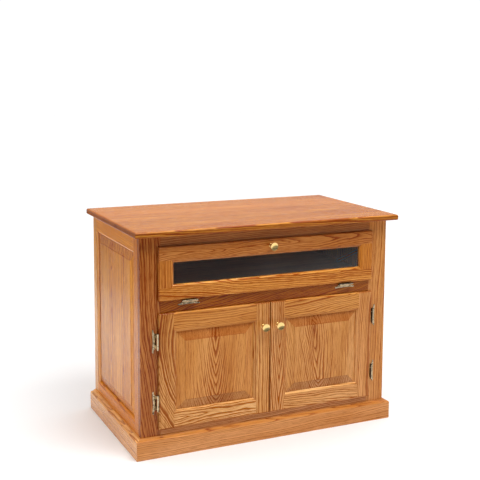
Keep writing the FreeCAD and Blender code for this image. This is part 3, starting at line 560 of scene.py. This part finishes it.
def metal(name, colour, roughness, tarnish_and_shade=None):
    """Metal with fine wear in its gloss. Where a dark colour is given, it is tarnished with that colour in
    patches on flat plates, and painted with it as shade towards the door.
    """
    material, tree, shader = new_tree(name)
    coordinates = tree.nodes.new("ShaderNodeTexCoord").outputs
    wear = noise_node(tree, coordinates["Object"], METAL_WEAR, 3.0, 0.6).outputs["Fac"]
    patches = noise_node(tree, coordinates["Object"], METAL_PATCHES, 3.0, 0.6).outputs["Fac"]
    if tarnish_and_shade:
        base = mix_colour(tree, tarnish_and_painted_shade(tree, coordinates, patches), colour, tarnish_and_shade)
    else:
        tone = ramp_node(tree, patches, [(0.3, 0.88), (0.7, 1.0)])
        base = mix_colour(tree, 1.0, colour, tone, "MULTIPLY")
    feed(tree, shader.inputs["Base Color"], base)
    shader.inputs["Metallic"].default_value = 1.0
    feed(tree, shader.inputs["Roughness"], math_node(tree, "MULTIPLY_ADD", wear, 0.16, roughness - 0.08))
    feed(tree, shader.inputs["Normal"], bump_node(tree, wear, 0.08, FINE_RELIEF))
    return material


def glass():
    """Clear glass with a faint haze, as a wiped pane has."""
    material, tree, shader = new_tree("clear_glass")
    place = tree.nodes.new("ShaderNodeTexCoord").outputs["Object"]
    haze = noise_node(tree, place, 30.0, 3.0, 0.6).outputs["Fac"]
    feed(tree, shader.inputs["Roughness"], ramp_node(tree, haze, [(0.35, 0.01), (0.75, 0.035)]))
    shader.inputs["Base Color"].default_value = (0.86, 0.93, 0.92, 1)
    shader.inputs["Transmission Weight"].default_value = 1.0
    shader.inputs["IOR"].default_value = 1.45
    return material


def plastic():
    """Brown moulded plastic with a fine grain."""
    material, tree, shader = new_tree("moulded_brown_plastic")
    place = tree.nodes.new("ShaderNodeTexCoord").outputs["Object"]
    grain = noise_node(tree, place, 1400.0, 2.0, 0.5).outputs["Fac"]
    colour = ramp_node(tree, grain, [(0.3, srgb(46, 30, 22)), (0.7, srgb(60, 40, 30))])
    feed(tree, shader.inputs["Base Color"], colour)
    feed(tree, shader.inputs["Normal"], bump_node(tree, grain, 0.2, FINE_RELIEF))
    shader.inputs["Roughness"].default_value = 0.5
    return material


def dress_fittings():
    """Gives the hinges, knobs, catches, glass and other fittings their finishes."""
    finishes = {
        "polished_brass": metal("brass_polished", srgb(246, 212, 140), 0.22),
        # the dark colour of antique brass is tarnish in patches, and painted shade towards the door
        "antique_brass": metal("brass_antique", srgb(222, 198, 160), 0.17, srgb(52, 42, 30)),
        "zinc_steel": metal("steel_zinc", srgb(190, 192, 194), 0.3),
        "glass": glass(),
        "brown_plastic": plastic(),
    }
    for row in frame["record"]["subparts"]:
        if row["material_slot"] in finishes:
            nodes[row["node"]].material_slots[0].material = finishes[row["material_slot"]]


# ---------------------------------------------------------------- studio
FLOOR_SIZE = 40


def paper_share(tree, right, back):
    """1 where the floor is pale paper, and 0 past its front edge and in its far left corner.

    The front edge fades over a metre and a half, and runs further forward on the right.
    """
    front = math_node(tree, "MULTIPLY_ADD", back, 0.7, 1.65)
    front = math_node(tree, "MULTIPLY_ADD", math_node(tree, "MAXIMUM", right, 0.0), 0.33, front)
    front = ramp_node(tree, front, [(0.0, 0.0), (1.0, 1.0)], "EASE")
    behind = ramp_node(tree, math_node(tree, "SUBTRACT", back, 0.9), [(0.0, 0.0), (0.7, 1.0)], "EASE")
    corner = math_node(tree, "MULTIPLY_ADD", right, -6.0, math_node(tree, "ADD", back, -7.4))
    corner = ramp_node(tree, corner, [(0.0, 0.0), (1.0, 1.0)], "EASE")
    corner = math_node(tree, "MULTIPLY", behind, corner)
    return math_node(tree, "MULTIPLY", front, math_node(tree, "SUBTRACT", 1.0, corner))


def make_floor():
    """A pale floor, which glows a little far away.

    Seen directly, it is paper all over. Reflections and bounced light see where the paper ends.
    """
    bpy.ops.mesh.primitive_plane_add(size=FLOOR_SIZE)
    floor = bpy.context.object
    floor.name = "floor"
    material, tree, shader = new_tree("pale_floor")
    place = tree.nodes.new("ShaderNodeTexCoord").outputs["Object"]
    right, back, _ = split_vector(tree, place)
    seen = tree.nodes.new("ShaderNodeLightPath").outputs["Is Camera Ray"]
    white = math_node(tree, "MAXIMUM", seen, paper_share(tree, right, back))
    shade = ramp_node(tree, white, [(0.0, 0.2), (1.0, 0.95)])
    feed(tree, shader.inputs["Base Color"], shade)
    shader.inputs["Roughness"].default_value = 0.9
    shader.inputs["Specular IOR Level"].default_value = 0.1
    distance = vector_node(tree, "LENGTH", place)
    far = ramp_node(tree, math_node(tree, "MULTIPLY", distance, 0.2), [(0.2, 0.0), (0.6, 0.2)])
    glow = math_node(tree, "MULTIPLY", far, white)
    shader.inputs["Emission Color"].default_value = (1, 1, 1, 1)
    feed(tree, shader.inputs["Emission Strength"], glow)
    floor.data.materials.append(material)


STUDIO_STRENGTH = 1.75


def make_world():
    """A darker studio with a white strip along the floor and a wide soft light overhead.

    Seen directly, it is all white.
    """
    world = bpy.data.worlds.new("studio")
    bpy.context.scene.world = world
    world.use_nodes = True
    tree = world.node_tree
    direction = tree.nodes.new("ShaderNodeTexCoord").outputs["Generated"]
    _, _, height = split_vector(tree, direction)
    by_height = ramp_node(tree, height, [
        (0.0, 0.6), (0.075, 0.6), (0.1, 0.3), (0.15, 0.12), (0.6, 0.3), (0.85, 1.0), (1.0, 1.0),
    ])
    backward = vector_node(tree, "DOT_PRODUCT", direction, (0.3, 0.95, 0.0))
    by_side = ramp_node(tree, math_node(tree, "MULTIPLY_ADD", backward, 0.5, 0.5), [
        (0.15, 0.45), (0.6, 1.0),
    ])
    colour = mix_colour(tree, 1.0, by_height, by_side, "MULTIPLY")
    seen = tree.nodes.new("ShaderNodeLightPath").outputs["Is Camera Ray"]
    colour = mix_colour(tree, seen, colour, (0.6, 0.6, 0.6))
    background = tree.nodes["Background"]
    feed(tree, background.inputs["Color"], colour)
    background.inputs["Strength"].default_value = STUDIO_STRENGTH


def area_light(name, place, aim, size, power):
    data = bpy.data.lights.new(name, "AREA")
    data.shape = "RECTANGLE"
    data.size, data.size_y = size
    data.energy = power
    light = bpy.data.objects.new(name, data)
    bpy.context.scene.collection.objects.link(light)
    light.location = place
    light.rotation_mode = "QUATERNION"
    light.rotation_quaternion = (Vector(aim) - Vector(place)).to_track_quat("-Z", "Y")


def make_lights():
    """A large key light above the front, and a weak one on the left."""
    area_light("key", (0.3, -1.5, 3.2), (0, 0, 0.35), (2.0, 1.6), 66)
    area_light("side", (-3.2, 0.6, 1.6), (0, 0, 0.4), (1.6, 1.6), 8)


CAMERA_PLACE = (-1.3746, -2.9676, 1.2403)
CAMERA_YAW, CAMERA_PITCH, CAMERA_ROLL = 24.83, 6.91, 0.36   # degrees: right of +Y, down, clockwise
CAMERA_LENS = 70.85         # millimetres, on a sensor 36 mm wide
CAMERA_SHIFT_UP = -0.125    # of the sensor's width


def make_camera():
    data = bpy.data.cameras.new("camera")
    data.sensor_width = 36
    data.lens = CAMERA_LENS
    data.shift_y = CAMERA_SHIFT_UP
    camera = bpy.data.objects.new("camera", data)
    bpy.context.scene.collection.objects.link(camera)
    yaw, pitch, roll = (math.radians(a) for a in (CAMERA_YAW, CAMERA_PITCH, CAMERA_ROLL))
    turn = Matrix.Rotation(-yaw, 4, "Z") @ Matrix.Rotation(math.pi / 2 - pitch, 4, "X")
    camera.matrix_world = Matrix.Translation(CAMERA_PLACE) @ turn @ Matrix.Rotation(roll, 4, "Z")
    bpy.context.scene.camera = camera


bpy.context.scene.view_settings.view_transform = "Standard"
make_camera()
make_world()
make_lights()
make_floor()
dress_boards()
dress_fittings()
